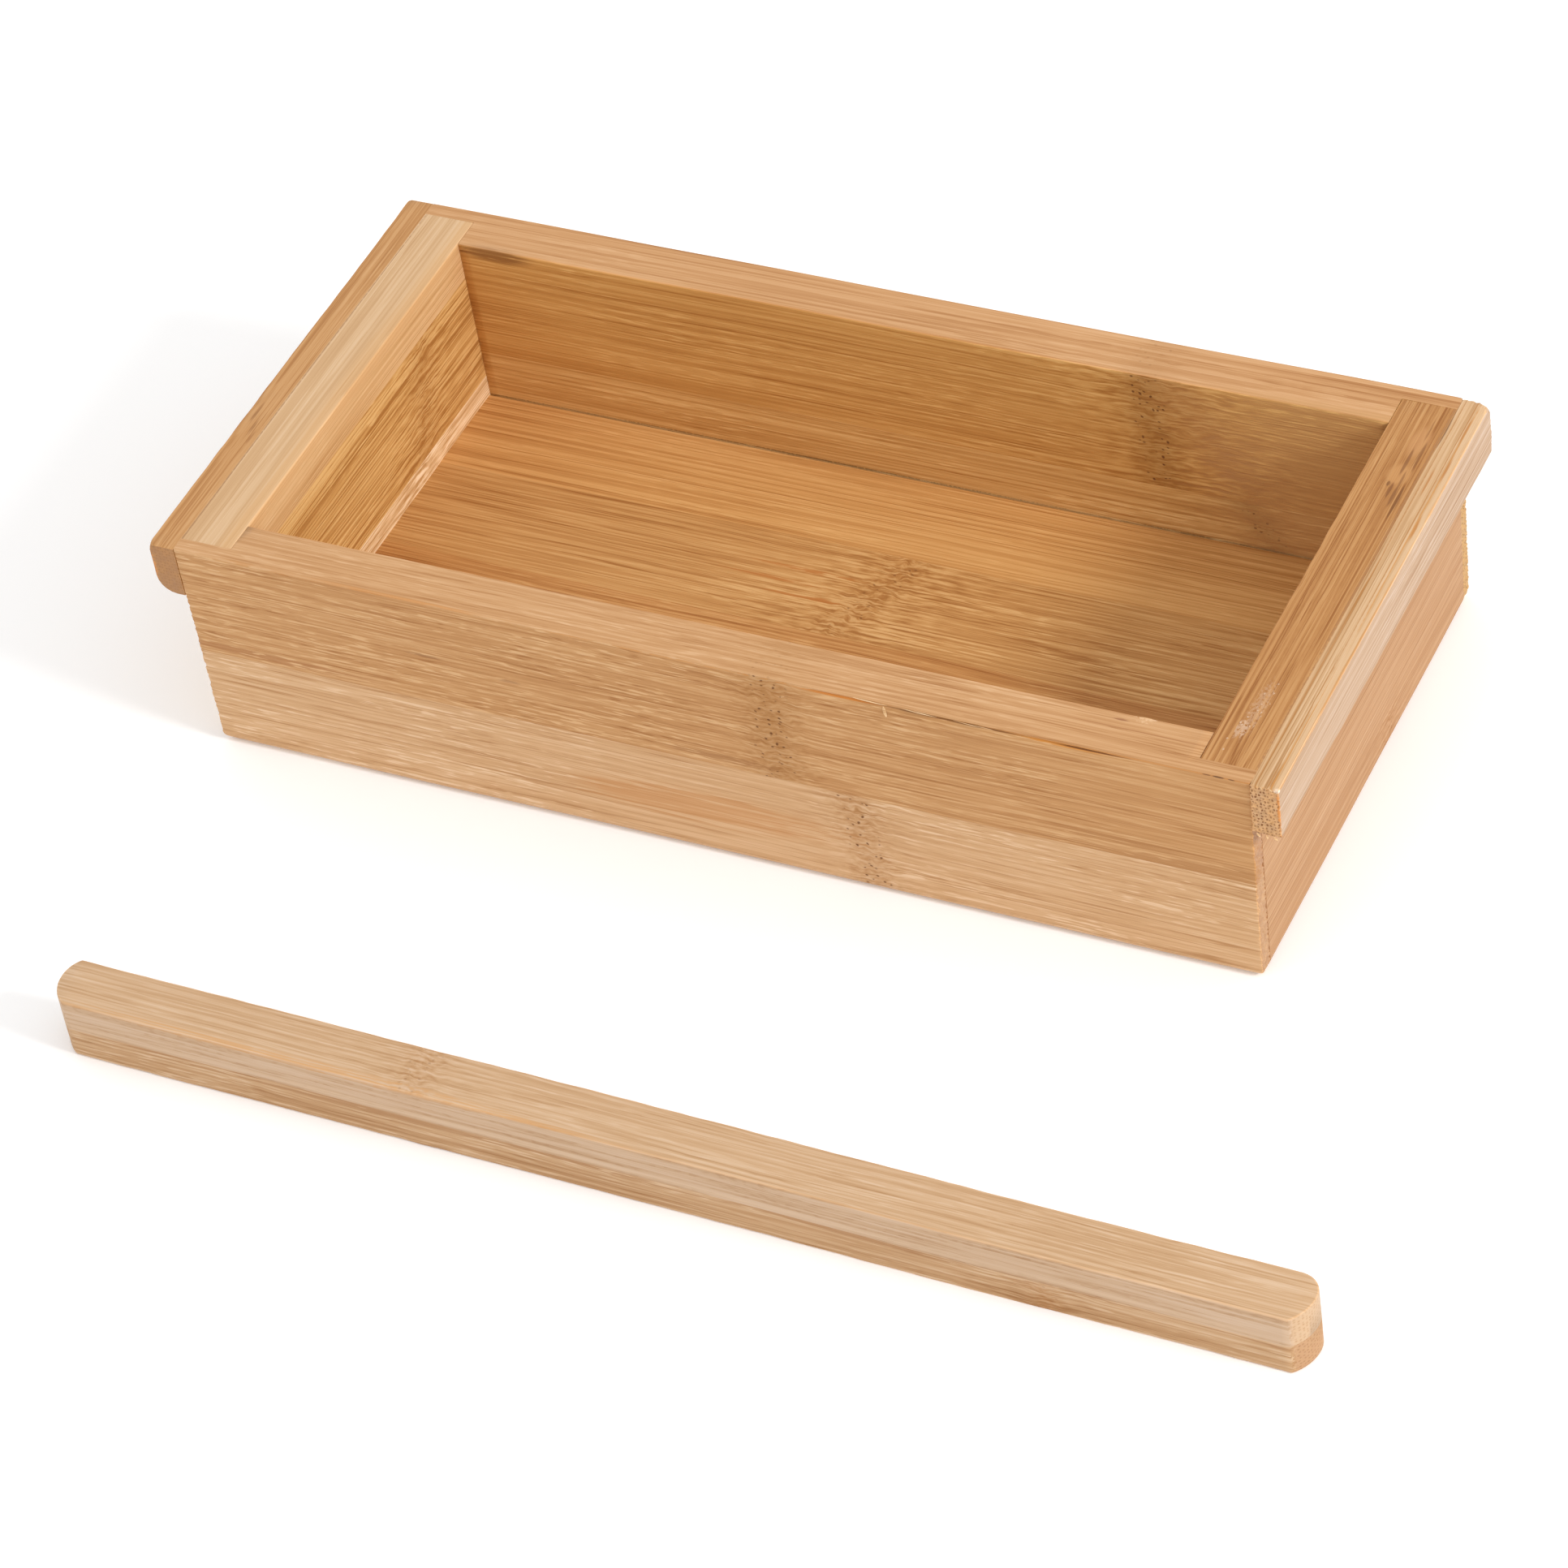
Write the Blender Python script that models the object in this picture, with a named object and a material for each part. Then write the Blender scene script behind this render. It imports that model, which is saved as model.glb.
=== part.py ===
"""A bamboo butter mold: a glued box with a grip rail on each end, and a loose leveling bar beside it.

Metres, +Z up. The origin is the middle of the box's underside; +X runs along the box and +Y away from
the leveling bar. Every board is glued up edge to edge from narrow bamboo strips, and each strip is its
own object. Strips that are glued together stand GLUE_GAP apart.
"""

from math import asin, cos, pi, radians, sin

import bmesh
import bpy
from mathutils import Matrix, Vector

# Box, outside
BOX_LENGTH = 0.200
BOX_WIDTH = 0.1004
BOX_HEIGHT = 0.045
WALL_THICKNESS = 0.0096
END_THICKNESS = 0.010
FLOOR_THICKNESS = 0.0098
LIP_THICKNESS = 0.0031  # what the rabbet leaves of a long wall in front of the end wall's end grain
BOTTOM_RADIUS = 0.0020  # rounding of the underside along both ends
GLUE_GAP = 0.0003

# Widths of the strips in each board; the last strip of a board takes up what is left
FLOOR_STRIPS = (("back", 0.0202), ("mid_back", 0.0230), ("mid_front", 0.0190))
FRONT_SEAM_HEIGHT = 0.0218
BACK_SEAM_HEIGHT = 0.0200
END_NARROW_STRIP = 0.0078
END_WIDE_STRIP = 0.0230

# Grip rails along the top of both ends
RAIL_THICKNESS = 0.0050
RAIL_HEIGHT = 0.0106
RIGHT_RAIL_OVERHANG = 0.0005  # how far the right rail's front end stands past the front wall

# Leveling bar, two layers glued face to face
BAR_LENGTH = 0.2268
BAR_DEPTH = 0.0102
BAR_HEIGHT = 0.0124
BAR_CREST = 0.0060  # distance of both ends' furthest point from the bar's front face
BAR_LEFT_SETBACKS = (0.0034, 0.0016)  # how far the front and back corners lie behind the crest
BAR_RIGHT_SETBACKS = (0.0027, 0.0040)
BAR_CENTRE = Vector((0.02400, -0.12335, 0.0))
BAR_YAW = radians(-0.34)
ARC_STEPS = 8

LIGHT = (0.74, 0.53, 0.32)
MEDIUM = (0.62, 0.39, 0.19)
DARK = (0.50, 0.29, 0.13)


def clear_scene():
    for obj in list(bpy.data.objects):
        bpy.data.objects.remove(obj, do_unlink=True)


def bamboo(name, colour):
    material = bpy.data.materials.new(f"{name}_bamboo")
    material.use_nodes = True
    shader = material.node_tree.nodes["Principled BSDF"]
    shader.inputs["Base Color"].default_value = (*colour, 1.0)
    shader.inputs["Roughness"].default_value = 0.55
    shader.inputs["Metallic"].default_value = 0.0
    return material


def add_object(name, bm, colour, parent=None):
    """Makes the object NAME from bm, with its own material."""
    bmesh.ops.recalc_face_normals(bm, faces=bm.faces)
    mesh = bpy.data.meshes.new(name)
    bm.to_mesh(mesh)
    bm.free()
    mesh.materials.append(bamboo(name, colour))
    obj = bpy.data.objects.new(name, mesh)
    bpy.context.scene.collection.objects.link(obj)
    obj.parent = parent
    return obj


def prism(outline, start, stop, axis):
    """Sweeps a closed outline, given in the plane across AXIS, from START to STOP along it."""
    places = {
        "Y": lambda a, b, c: (a, c, b),
        "Z": lambda a, b, c: (a, b, c),
    }[axis]
    bm = bmesh.new()
    face = bm.faces.new([bm.verts.new(places(a, b, start)) for a, b in outline])
    swept = bmesh.ops.extrude_face_region(bm, geom=[face])["geom"]
    moved = [item for item in swept if isinstance(item, bmesh.types.BMVert)]
    bmesh.ops.translate(bm, verts=moved, vec=Vector(places(0.0, 0.0, stop - start)))
    return bm


def arc(centre, radius, first, last, steps=ARC_STEPS):
    """Points along a circle, from angle FIRST to angle LAST."""
    turns = (first + (last - first) * i / steps for i in range(steps + 1))
    return [(centre[0] + radius * cos(turn), centre[1] + radius * sin(turn)) for turn in turns]


def seams_to_spans(edges):
    """The (low, high) span of each strip between neighbouring seams, less the glue line."""
    spans = []
    for low, high in zip(edges, edges[1:]):
        low_gap = 0.0 if low == edges[0] else GLUE_GAP / 2
        high_gap = 0.0 if high == edges[-1] else GLUE_GAP / 2
        spans.append((low + low_gap, high - high_gap))
    return spans


def long_wall_strip(name, side, low, high, colour):
    """One strip of a long wall. SIDE is -1 at the front and 1 at the back."""
    half = BOX_LENGTH / 2
    outer = BOX_WIDTH / 2
    inner = outer - WALL_THICKNESS
    rabbet = outer - LIP_THICKNESS
    shoulder = half - END_THICKNESS
    plan = [(-half, outer), (-half, rabbet), (-shoulder, rabbet), (-shoulder, inner)]
    plan += [(-x, y) for x, y in reversed(plan)]
    bm = prism([(x, side * y) for x, y in plan], low, high, "Z")
    if low == 0.0:
        bottom_ends = [
            edge
            for edge in bm.edges
            if all(abs(abs(v.co.x) - half) < 1e-6 and v.co.z < 1e-6 for v in edge.verts)
        ]
        bmesh.ops.bevel(
            bm,
            geom=bottom_ends,
            offset=BOTTOM_RADIUS,
            segments=ARC_STEPS,
            profile=0.5,
            affect="EDGES",
        )
    add_object(name, bm, colour)


def end_wall_strip(name, side, low, high, colour):
    """One strip of an end wall, between the lips of the long walls. SIDE is -1 at the left."""
    outer = BOX_LENGTH / 2
    inner = outer - END_THICKNESS + GLUE_GAP
    reach = BOX_WIDTH / 2 - LIP_THICKNESS - GLUE_GAP
    if low == 0.0:
        rounding = arc((outer - BOTTOM_RADIUS, BOTTOM_RADIUS), BOTTOM_RADIUS, -pi / 2, 0.0)
    else:
        rounding = [(outer, low)]
    profile = [(inner, low), *rounding, (outer, high), (inner, high)]
    add_object(name, prism([(side * x, z) for x, z in profile], -reach, reach, "Y"), colour)


def floor_strip(name, front, back, colour):
    reach = BOX_LENGTH / 2 - END_THICKNESS - GLUE_GAP
    outline = [(-reach, front), (reach, front), (reach, back), (-reach, back)]
    add_object(name, prism(outline, 0.0, FLOOR_THICKNESS, "Z"), colour)


def rail(name, side, front, dubbed, colour):
    """A grip rail. DUBBED gives (is_back, is_top, radius) for each outer corner that is sanded round."""
    inner = BOX_LENGTH / 2 + GLUE_GAP
    outer = BOX_LENGTH / 2 + RAIL_THICKNESS
    back = BOX_WIDTH / 2
    low = BOX_HEIGHT - RAIL_HEIGHT
    section = [(inner, low), (outer, low), (outer, BOX_HEIGHT), (inner, BOX_HEIGHT)]
    bm = prism([(side * x, z) for x, z in section], front, back, "Y")
    for is_back, is_top, radius in dubbed:
        corner = Vector((side * outer, back if is_back else front, BOX_HEIGHT if is_top else low))
        found = min(bm.verts, key=lambda vert: (vert.co - corner).length)
        bmesh.ops.bevel(bm, geom=[found], offset=radius, segments=5, profile=0.5, affect="VERTICES")
    add_object(name, bm, colour)


def bar_end(setbacks):
    """Half the bar's plan: an end's outline from the front corner over the crest to the back corner.

    Each corner is joined to the crest by the circle that passes through it and is upright at the crest.
    The points are (distance behind the crest, distance from the front face).
    """
    points = []
    for setback, reach, heading in (
        (setbacks[0], BAR_CREST, -1.0),
        (setbacks[1], BAR_DEPTH - BAR_CREST, 1.0),
    ):
        radius = (setback**2 + reach**2) / (2 * setback)
        sweep = asin(min(1.0, reach / radius))
        stretch = arc((radius, BAR_CREST), radius, pi, pi - heading * sweep)
        points += stretch[::-1] if heading < 0 else stretch[1:]
    return points


def bar_layer(name, low, high, parent, colour):
    half = BAR_LENGTH / 2
    left = [(-half + behind, y) for behind, y in bar_end(BAR_LEFT_SETBACKS)]
    right = [(half - behind, y) for behind, y in bar_end(BAR_RIGHT_SETBACKS)]
    plan = [(x, y - BAR_DEPTH / 2) for x, y in left + right[::-1]]
    add_object(name, prism(plan, low, high, "Z"), colour, parent)


def build_floor():
    back = BOX_WIDTH / 2 - WALL_THICKNESS - GLUE_GAP
    edges = [back]
    for _, width in FLOOR_STRIPS:
        edges.append(edges[-1] - width)
    edges.append(-back)
    names = [name for name, _ in FLOOR_STRIPS] + ["front"]
    for name, (front, rear) in zip(reversed(names), seams_to_spans(edges[::-1])):
        floor_strip(f"floor_strip_{name}", front, rear, MEDIUM)


def build_long_walls():
    for place, side, seam, colour in (
        ("front", -1, FRONT_SEAM_HEIGHT, LIGHT),
        ("back", 1, BACK_SEAM_HEIGHT, DARK),
    ):
        for level, (low, high) in zip(("lower", "upper"), seams_to_spans([0.0, seam, BOX_HEIGHT])):
            long_wall_strip(f"{place}_wall_{level}_strip", side, low, high, colour)


def build_end_walls():
    """Both end walls come from the same board, which is the other way up at the right."""
    wide_top = BOX_HEIGHT - END_NARROW_STRIP
    left_edges = [0.0, wide_top - END_WIDE_STRIP, wide_top, BOX_HEIGHT]
    right_edges = [BOX_HEIGHT - edge for edge in reversed(left_edges)]
    for place, side, edges in (("left", -1, left_edges), ("right", 1, right_edges)):
        for level, (low, high) in zip(("bottom", "middle", "top"), seams_to_spans(edges)):
            end_wall_strip(f"{place}_end_{level}_strip", side, low, high, MEDIUM)


def build_rails():
    front = -BOX_WIDTH / 2
    left_corners = [(False, False, 0.0036), (False, True, 0.0020), (True, True, 0.0010)]
    right_corners = [(True, True, 0.0034)]
    rail("left_grip_rail", -1, front, left_corners, MEDIUM)
    rail("right_grip_rail", 1, front - RIGHT_RAIL_OVERHANG, right_corners, LIGHT)


def build_bar():
    """The two layers hang from an empty on the line along which the bar lifts."""
    pivot = bpy.data.objects.new("leveling_bar", None)
    bpy.context.scene.collection.objects.link(pivot)
    pivot.matrix_world = Matrix.Translation(BAR_CENTRE) @ Matrix.Rotation(BAR_YAW, 4, "Z")
    layers = seams_to_spans([0.0, BAR_HEIGHT / 2, BAR_HEIGHT])
    for level, colour, (low, high) in zip(("lower", "upper"), (MEDIUM, LIGHT), layers):
        bar_layer(f"leveling_bar_{level}_layer", low, high, pivot, colour)


def main():
    clear_scene()
    build_floor()
    build_long_walls()
    build_end_walls()
    build_rails()
    build_bar()


main()
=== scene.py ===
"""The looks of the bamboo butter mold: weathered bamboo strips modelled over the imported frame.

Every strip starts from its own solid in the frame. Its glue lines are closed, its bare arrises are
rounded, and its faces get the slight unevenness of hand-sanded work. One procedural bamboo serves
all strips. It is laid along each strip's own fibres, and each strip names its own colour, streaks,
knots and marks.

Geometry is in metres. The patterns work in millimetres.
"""

import random
from dataclasses import dataclass
from math import atan2, cos, pi, radians, sin

import bmesh
import bpy
from mathutils import Matrix, Vector, noise


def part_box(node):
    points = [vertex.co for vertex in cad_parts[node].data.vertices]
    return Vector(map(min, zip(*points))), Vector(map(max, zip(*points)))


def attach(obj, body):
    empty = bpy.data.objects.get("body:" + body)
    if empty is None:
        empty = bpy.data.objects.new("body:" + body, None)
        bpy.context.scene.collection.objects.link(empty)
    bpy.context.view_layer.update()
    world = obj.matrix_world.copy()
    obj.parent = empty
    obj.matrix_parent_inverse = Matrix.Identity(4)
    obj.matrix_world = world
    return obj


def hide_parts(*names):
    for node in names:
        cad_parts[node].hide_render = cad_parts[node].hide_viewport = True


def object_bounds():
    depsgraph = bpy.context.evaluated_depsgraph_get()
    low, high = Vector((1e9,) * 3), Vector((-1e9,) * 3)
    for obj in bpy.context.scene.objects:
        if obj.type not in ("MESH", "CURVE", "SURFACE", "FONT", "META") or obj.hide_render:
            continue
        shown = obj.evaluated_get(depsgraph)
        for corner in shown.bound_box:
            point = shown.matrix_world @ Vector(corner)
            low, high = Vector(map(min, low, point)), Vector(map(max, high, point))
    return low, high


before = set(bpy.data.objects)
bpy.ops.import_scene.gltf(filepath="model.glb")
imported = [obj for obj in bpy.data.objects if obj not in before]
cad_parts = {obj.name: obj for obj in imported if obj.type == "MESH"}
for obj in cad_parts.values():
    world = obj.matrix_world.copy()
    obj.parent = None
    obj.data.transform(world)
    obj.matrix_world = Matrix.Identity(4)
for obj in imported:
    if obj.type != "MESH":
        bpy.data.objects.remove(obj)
CAD_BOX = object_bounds()

MM = 0.001
X, Y, Z = range(3)
SMOOTH_BELOW = radians(35)


def put(name, data):
    """An object with this data, in the scene."""
    made = bpy.data.objects.new(name, data)
    bpy.context.scene.collection.objects.link(made)
    return made


def new_object(name, bm):
    """A smoothly shaded object made from bm, with its sharp corners kept sharp."""
    mesh = bpy.data.meshes.new(name)
    bm.to_mesh(mesh)
    bm.free()
    mesh.shade_smooth()
    mesh.set_sharp_from_angle(angle=SMOOTH_BELOW)
    return put(name, mesh)


def new_material(name):
    """(material, its node tree, its shader)."""
    material = bpy.data.materials.new(name)
    material.use_nodes = True
    tree = material.node_tree
    return material, tree, tree.nodes["Principled BSDF"]


# ------------------------ camera, light and floor

LOOK_AT = Vector((0.01356, -0.04945, 0.020))
CAMERA_AZIMUTH = radians(31.07)
CAMERA_ELEVATION = radians(42.65)
CAMERA_ROLL = radians(-9.534)
CAMERA_DISTANCE = 0.9984
LENS_MM = 135.6
SENSOR_MM = 36.0

WORLD_STRENGTH = 0.94
FLOOR_SIZE = 6.0
FLOOR_GREY = 0.95
FLOOR_GLOW = 0.10  # keeps the shadows on the floor faint
FLOOR_ROUGHNESS = 0.9
KEY_DIRECTION = Vector((1.0, -0.10, 0.66))  # from the object towards the light
KEY_DISTANCE = 1.6
KEY_SIZE = 0.36
KEY_POWER = 12.5


def make_camera():
    """Looks down at the mold from its front right corner, with the camera tilted sideways."""
    turn, rise = CAMERA_AZIMUTH, CAMERA_ELEVATION
    back = Vector((sin(turn) * cos(rise), -cos(turn) * cos(rise), sin(rise)))
    camera = put("camera", bpy.data.cameras.new("camera"))
    camera.data.lens = LENS_MM
    camera.data.sensor_width = SENSOR_MM
    level = back.to_track_quat("Z", "Y").to_matrix().to_4x4()
    place = Matrix.Translation(LOOK_AT + back * CAMERA_DISTANCE)
    camera.matrix_world = place @ level @ Matrix.Rotation(CAMERA_ROLL, 4, "Z")
    bpy.context.scene.camera = camera


def make_light():
    """A white room, and one large soft light low on the right."""
    world = bpy.data.worlds.new("white_room")
    world.use_nodes = True
    background = world.node_tree.nodes["Background"]
    background.inputs["Color"].default_value = (1.0, 1.0, 1.0, 1.0)
    background.inputs["Strength"].default_value = WORLD_STRENGTH
    bpy.context.scene.world = world
    lamp = bpy.data.lights.new("key_light", "AREA")
    lamp.shape = "DISK"
    lamp.size = KEY_SIZE
    lamp.energy = KEY_POWER
    key = put("key_light", lamp)
    direction = KEY_DIRECTION.normalized()
    turn = direction.to_track_quat("Z", "Y").to_matrix().to_4x4()
    key.matrix_world = Matrix.Translation(LOOK_AT + direction * KEY_DISTANCE) @ turn
    bpy.context.scene.view_settings.view_transform = "Standard"


def make_floor():
    """A plain white floor under the mold and the bar."""
    bm = bmesh.new()
    bmesh.ops.create_grid(bm, x_segments=1, y_segments=1, size=FLOOR_SIZE / 2)
    floor = new_object("studio_floor", bm)
    floor.location.z = CAD_BOX[0].z
    material, _, shader = new_material("white_floor")
    shader.inputs["Base Color"].default_value = (FLOOR_GREY, FLOOR_GREY, FLOOR_GREY, 1.0)
    shader.inputs["Roughness"].default_value = FLOOR_ROUGHNESS
    shader.inputs["Emission Color"].default_value = (1.0, 1.0, 1.0, 1.0)
    shader.inputs["Emission Strength"].default_value = FLOOR_GLOW
    floor.data.materials.append(material)


# ------------------------ arithmetic on node trees


class Field:
    """A number that varies over a surface. Arithmetic on it adds Math nodes to its node tree."""

    def __init__(self, tree, socket):
        self.tree = tree
        self.socket = socket

    def _math(self, operation, *operands):
        node = self.tree.nodes.new("ShaderNodeMath")
        node.operation = operation
        for socket, operand in zip(node.inputs, operands):
            feed(self.tree, socket, operand)
        return Field(self.tree, node.outputs[0])

    def __add__(self, other):
        return self._math("ADD", self, other)

    __radd__ = __add__

    def __sub__(self, other):
        return self._math("SUBTRACT", self, other)

    def __rsub__(self, other):
        return self._math("SUBTRACT", other, self)

    def __mul__(self, other):
        return self._math("MULTIPLY", self, other)

    __rmul__ = __mul__

    def __truediv__(self, other):
        return self._math("DIVIDE", self, other)

    def __abs__(self):
        return self._math("ABSOLUTE", self)

    def floor(self):
        return self._math("FLOOR", self)

    def fraction(self):
        return self._math("FRACT", self)

    def hill(self, centre, width):
        """1 at CENTRE, falling off on both sides as a bell curve of half width WIDTH."""
        away = (self - centre) / width
        return self._math("EXPONENT", away * away * -1.0)

    def step(self, start, end):
        """0 before START and 1 after END, with a smooth change between. END may be below START."""
        node = self.tree.nodes.new("ShaderNodeMapRange")
        node.interpolation_type = "SMOOTHSTEP"
        feed(self.tree, node.inputs["Value"], self)
        low, high = min(start, end), max(start, end)
        node.inputs["From Min"].default_value = low
        node.inputs["From Max"].default_value = high
        node.inputs["To Min"].default_value = 0.0 if start < end else 1.0
        node.inputs["To Max"].default_value = 1.0 if start < end else 0.0
        return Field(self.tree, node.outputs["Result"])


def feed(tree, socket, value):
    """Links VALUE into SOCKET if it comes from another node, and otherwise sets it there."""
    if isinstance(value, Field):
        tree.links.new(value.socket, socket)
    elif isinstance(value, bpy.types.NodeSocket):
        tree.links.new(value, socket)
    elif isinstance(value, tuple) and len(value) == 3 and socket.type == "RGBA":
        socket.default_value = (*value, 1.0)
    else:
        socket.default_value = value


def point(tree, x, y, z):
    """A vector socket from three numbers or Fields."""
    node = tree.nodes.new("ShaderNodeCombineXYZ")
    for socket, value in zip(node.inputs, (x, y, z)):
        feed(tree, socket, value)
    return node.outputs[0]


def cloud(tree, x, y, z, detail=1.0):
    """Smooth noise from -0.5 to 0.5, one lump to each unit of x, y and z."""
    node = tree.nodes.new("ShaderNodeTexNoise")
    feed(tree, node.inputs["Vector"], point(tree, x, y, z))
    node.inputs["Scale"].default_value = 1.0
    node.inputs["Detail"].default_value = detail
    node.inputs["Roughness"].default_value = 0.5
    return Field(tree, node.outputs["Fac"]) - 0.5


def cells(tree, x, y, z):
    """(distance to the nearest of scattered points one unit apart, that point's random number)."""
    node = tree.nodes.new("ShaderNodeTexVoronoi")
    feed(tree, node.inputs["Vector"], point(tree, x, y, z))
    node.inputs["Scale"].default_value = 1.0
    split = tree.nodes.new("ShaderNodeSeparateColor")
    tree.links.new(node.outputs["Color"], split.inputs[0])
    return Field(tree, node.outputs["Distance"]), Field(tree, split.outputs[0])


# Where a Mix node has its sockets for colours
MIX_SHARE, MIX_FIRST, MIX_SECOND, MIX_RESULT = 0, 6, 7, 2


def mixed(tree, share, first, second, blend="MIX"):
    """The colour SHARE of the way from FIRST to SECOND, or to what BLEND makes of the two."""
    node = tree.nodes.new("ShaderNodeMix")
    node.data_type = "RGBA"
    node.blend_type = blend
    feed(tree, node.inputs[MIX_SHARE], share)
    feed(tree, node.inputs[MIX_FIRST], first)
    feed(tree, node.inputs[MIX_SECOND], second)
    return node.outputs[MIX_RESULT]


def tinted(tree, share, colour, factors):
    """COLOUR with its channels multiplied by FACTORS, as far as SHARE says."""
    return mixed(tree, share, colour, factors, blend="MULTIPLY")


def linear(colour):
    """A screen colour with channels from 0 to 255 as linear light, by the sRGB curve."""
    shares = (channel / 255 for channel in colour)
    return tuple(s / 12.92 if s <= 0.04045 else ((s + 0.055) / 1.055) ** 2.4 for s in shares)


def parts_of(tree, vector):
    """The three Fields of a vector socket."""
    split = tree.nodes.new("ShaderNodeSeparateXYZ")
    tree.links.new(vector, split.inputs[0])
    return [Field(tree, socket) for socket in split.outputs]


def millimetres(tree, coordinates):
    """The place on the strip as three Fields."""
    return [axis * (1 / MM) for axis in parts_of(tree, coordinates.outputs["Object"])]


# ------------------------ bamboo


@dataclass
class Knot:
    """The scar of a nodal ring across a strip, in millimetres along and across the fibres."""

    along: float
    across: float = 0.0
    slant: float = 0.0  # shift along the fibres for each millimetre across
    width: float = 4.0
    spread: float = 15.0  # how far from the ring the fibres still swerve
    pits: float = 1.0
    lumps: float = 1.0
    flames: float = 0.4  # long light and dark tongues on both sides
    tint: tuple = (170, 114, 56)
    tinted: float = 0.42


@dataclass
class Mark:
    """A soft patch of another colour, in millimetres in the frame, frayed along the fibres."""

    at: tuple
    size: tuple
    colour: tuple
    amount: float = 1.0
    frayed: float = 1.0
    grit: float = 0.0  # how far it is broken up into crumbs


@dataclass
class Look:
    """How the bamboo of one strip looks. Lengths are in millimetres."""

    tone: tuple  # the broad faces
    edge_tone: tuple = None  # the narrow faces, where they differ
    streaks: float = 1.0
    streak_length: float = 20.0
    line_length: float = 60.0
    flecks: float = 1.0
    fleck_length: float = 5.5
    lines: float = 0.6  # thin dark vessels
    edge_lines: float = 0.5
    edge_dashes: float = 0.0  # short brown dashes in rows
    bands: float = 1.0
    clouds: float = 1.0
    calm: tuple = (0.0, 0.0)  # middle and half width of a stretch with few flecks and long lines
    knots: tuple = ()
    marks: tuple = ()
    end_tone: tuple = (190, 150, 100)
    end_dots: tuple = (112, 76, 42)
    dots: float = 0.6


@dataclass
class Grain:
    """Places in one strip's wood: A along the fibres, C across the broad face and D into it."""

    a: Field
    c: Field
    d: Field


@dataclass
class Ring:
    """A knot's scar in the pattern. NEAR is 1 on the scar and 0 away from it, WIDE further away."""

    knot: Knot
    away: Field
    near: Field
    wide: Field


SEED_STEP = 53.0  # how far apart the strips lie in the one pattern
BASE = 0.52  # lightness of plain wood

# (length along the fibres, width across them) of each pattern
FIBRE_WIDTH = 0.52
STREAK_WIDTH = FIBRE_WIDTH * 0.8
HAIR = (30.0, FIBRE_WIDTH * 0.4)
BAND = (120.0, 2.6)
PATCH = (40.0, 8.0)
DASH = (1.8, 0.45)
DRIFT = (28.0, 7.0)  # of flecks
LUMP = (1.5, 0.55)
FLAME = (4.5, 0.7)
WANDER = (45.0, 9.0)
SWIRL = (2.6, 2.4)
BEND = (9.0, 2.6)
VESSEL_PITCH = 1.0
VESSEL_STRETCH = 2.5  # a vessel's length for each millimetre of line_length
BREAK_STRETCH = 0.3  # the same for the stretches in which vessels break off
BREAK_WIDTH = 2.2
DRIFT_SHIFT = 7.0

# (start, end) of the step that makes a share of each pattern's noise
ROW_STEP = (-0.10, 0.10)
DRIFT_STEP = (-0.14, 0.12)
LIGHT_FLECK_STEP = (0.06, 0.20)
DARK_FLECK_STEP = (-0.12, -0.26)
CALM_STEP = (0.2, 0.6)
VESSEL_STEP = (0.034, 0.006)
BREAK_STEP = (-0.16, 0.06)
DASH_STEP = (0.02, 0.12)
DASH_ROW_STEP = (0.04, -0.06)

# How much each pattern changes the lightness
ROWS = 0.24
STREAKS = 0.34
HAIRS = 0.40
BANDS = 0.14
PATCHES = 0.20
LIGHT_FLECKS = 0.44
DARK_FLECKS = 0.22
VESSELS = 0.50
DASHES = 0.34
LUMPS = 1.3
FLAMES = 1.6

FLECKS_IN_ROWS = 0.5  # how far the flecks keep to the rows
FLECKS_BETWEEN_DRIFTS = 0.25
CALMED = 0.75  # share of the flecks that a calm stretch loses

# How much of each pattern a narrow face loses
EDGE_FLECKS_LOST = 0.7
EDGE_SWERVE_LOST = 0.85
EDGE_TINT_LOST = 0.7
EDGE_PITS_LOST = 0.8

# How far the fibres move sideways, in millimetres
WANDERING = 0.9
SWIRLING = 1.2
BENDING = 1.2

RING_WANDER = 4.5  # how far a ring strays along the fibres
RING_WANDER_WIDTH = 3.0

PIT_PITCH = (1.1, 0.8)
PIT_STEP = (0.34, 0.16)
PIT_CHANCE_STEP = (0.52, 0.62)
PIT_BELT = 0.7  # width of the belt with pits, as a share of the ring's
PIT_BELT_STEP = (0.3, 0.6)
PIT_SHARE = 0.9

LIGHTER = (1.26, 1.46, 1.84)
LIGHTER_STEP = (0.38, 1.12)
DARKER = (0.66, 0.53, 0.38)
DARKER_STEP = (0.62, -0.12)
PIT_COLOUR = (112, 68, 32)
# The rounded arrises are lighter: partly real wear, partly a painted highlight along every arris.
ARRIS_COLOUR = (1.22, 1.15, 1.05)
ARRIS_SHARE = 0.6

# How far a face has to look along an axis to be narrow, or a sawn end
EDGE_STEP = (0.35, 0.75)
END_STEP = (0.55, 0.85)


def rings_of(tree, wood, knots):
    """The ring of each knot. It wavers along the fibres."""
    rings = []
    for knot in knots:
        c, d = wood.c / RING_WANDER_WIDTH, wood.d / RING_WANDER_WIDTH
        wander = cloud(tree, knot.along, c, d, detail=2.0) * RING_WANDER
        away = wood.a - knot.along - (wood.c - knot.across) * knot.slant + wander
        rings.append(Ring(knot, away, away.hill(0.0, knot.width), away.hill(0.0, knot.spread)))
    return rings


def fibres(tree, wood, length, width, detail=1.0):
    """Streaks LENGTH long and WIDTH wide, from -0.5 to 0.5."""
    return cloud(tree, wood.a / length, wood.c / width, wood.d / width, detail=detail)


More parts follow.
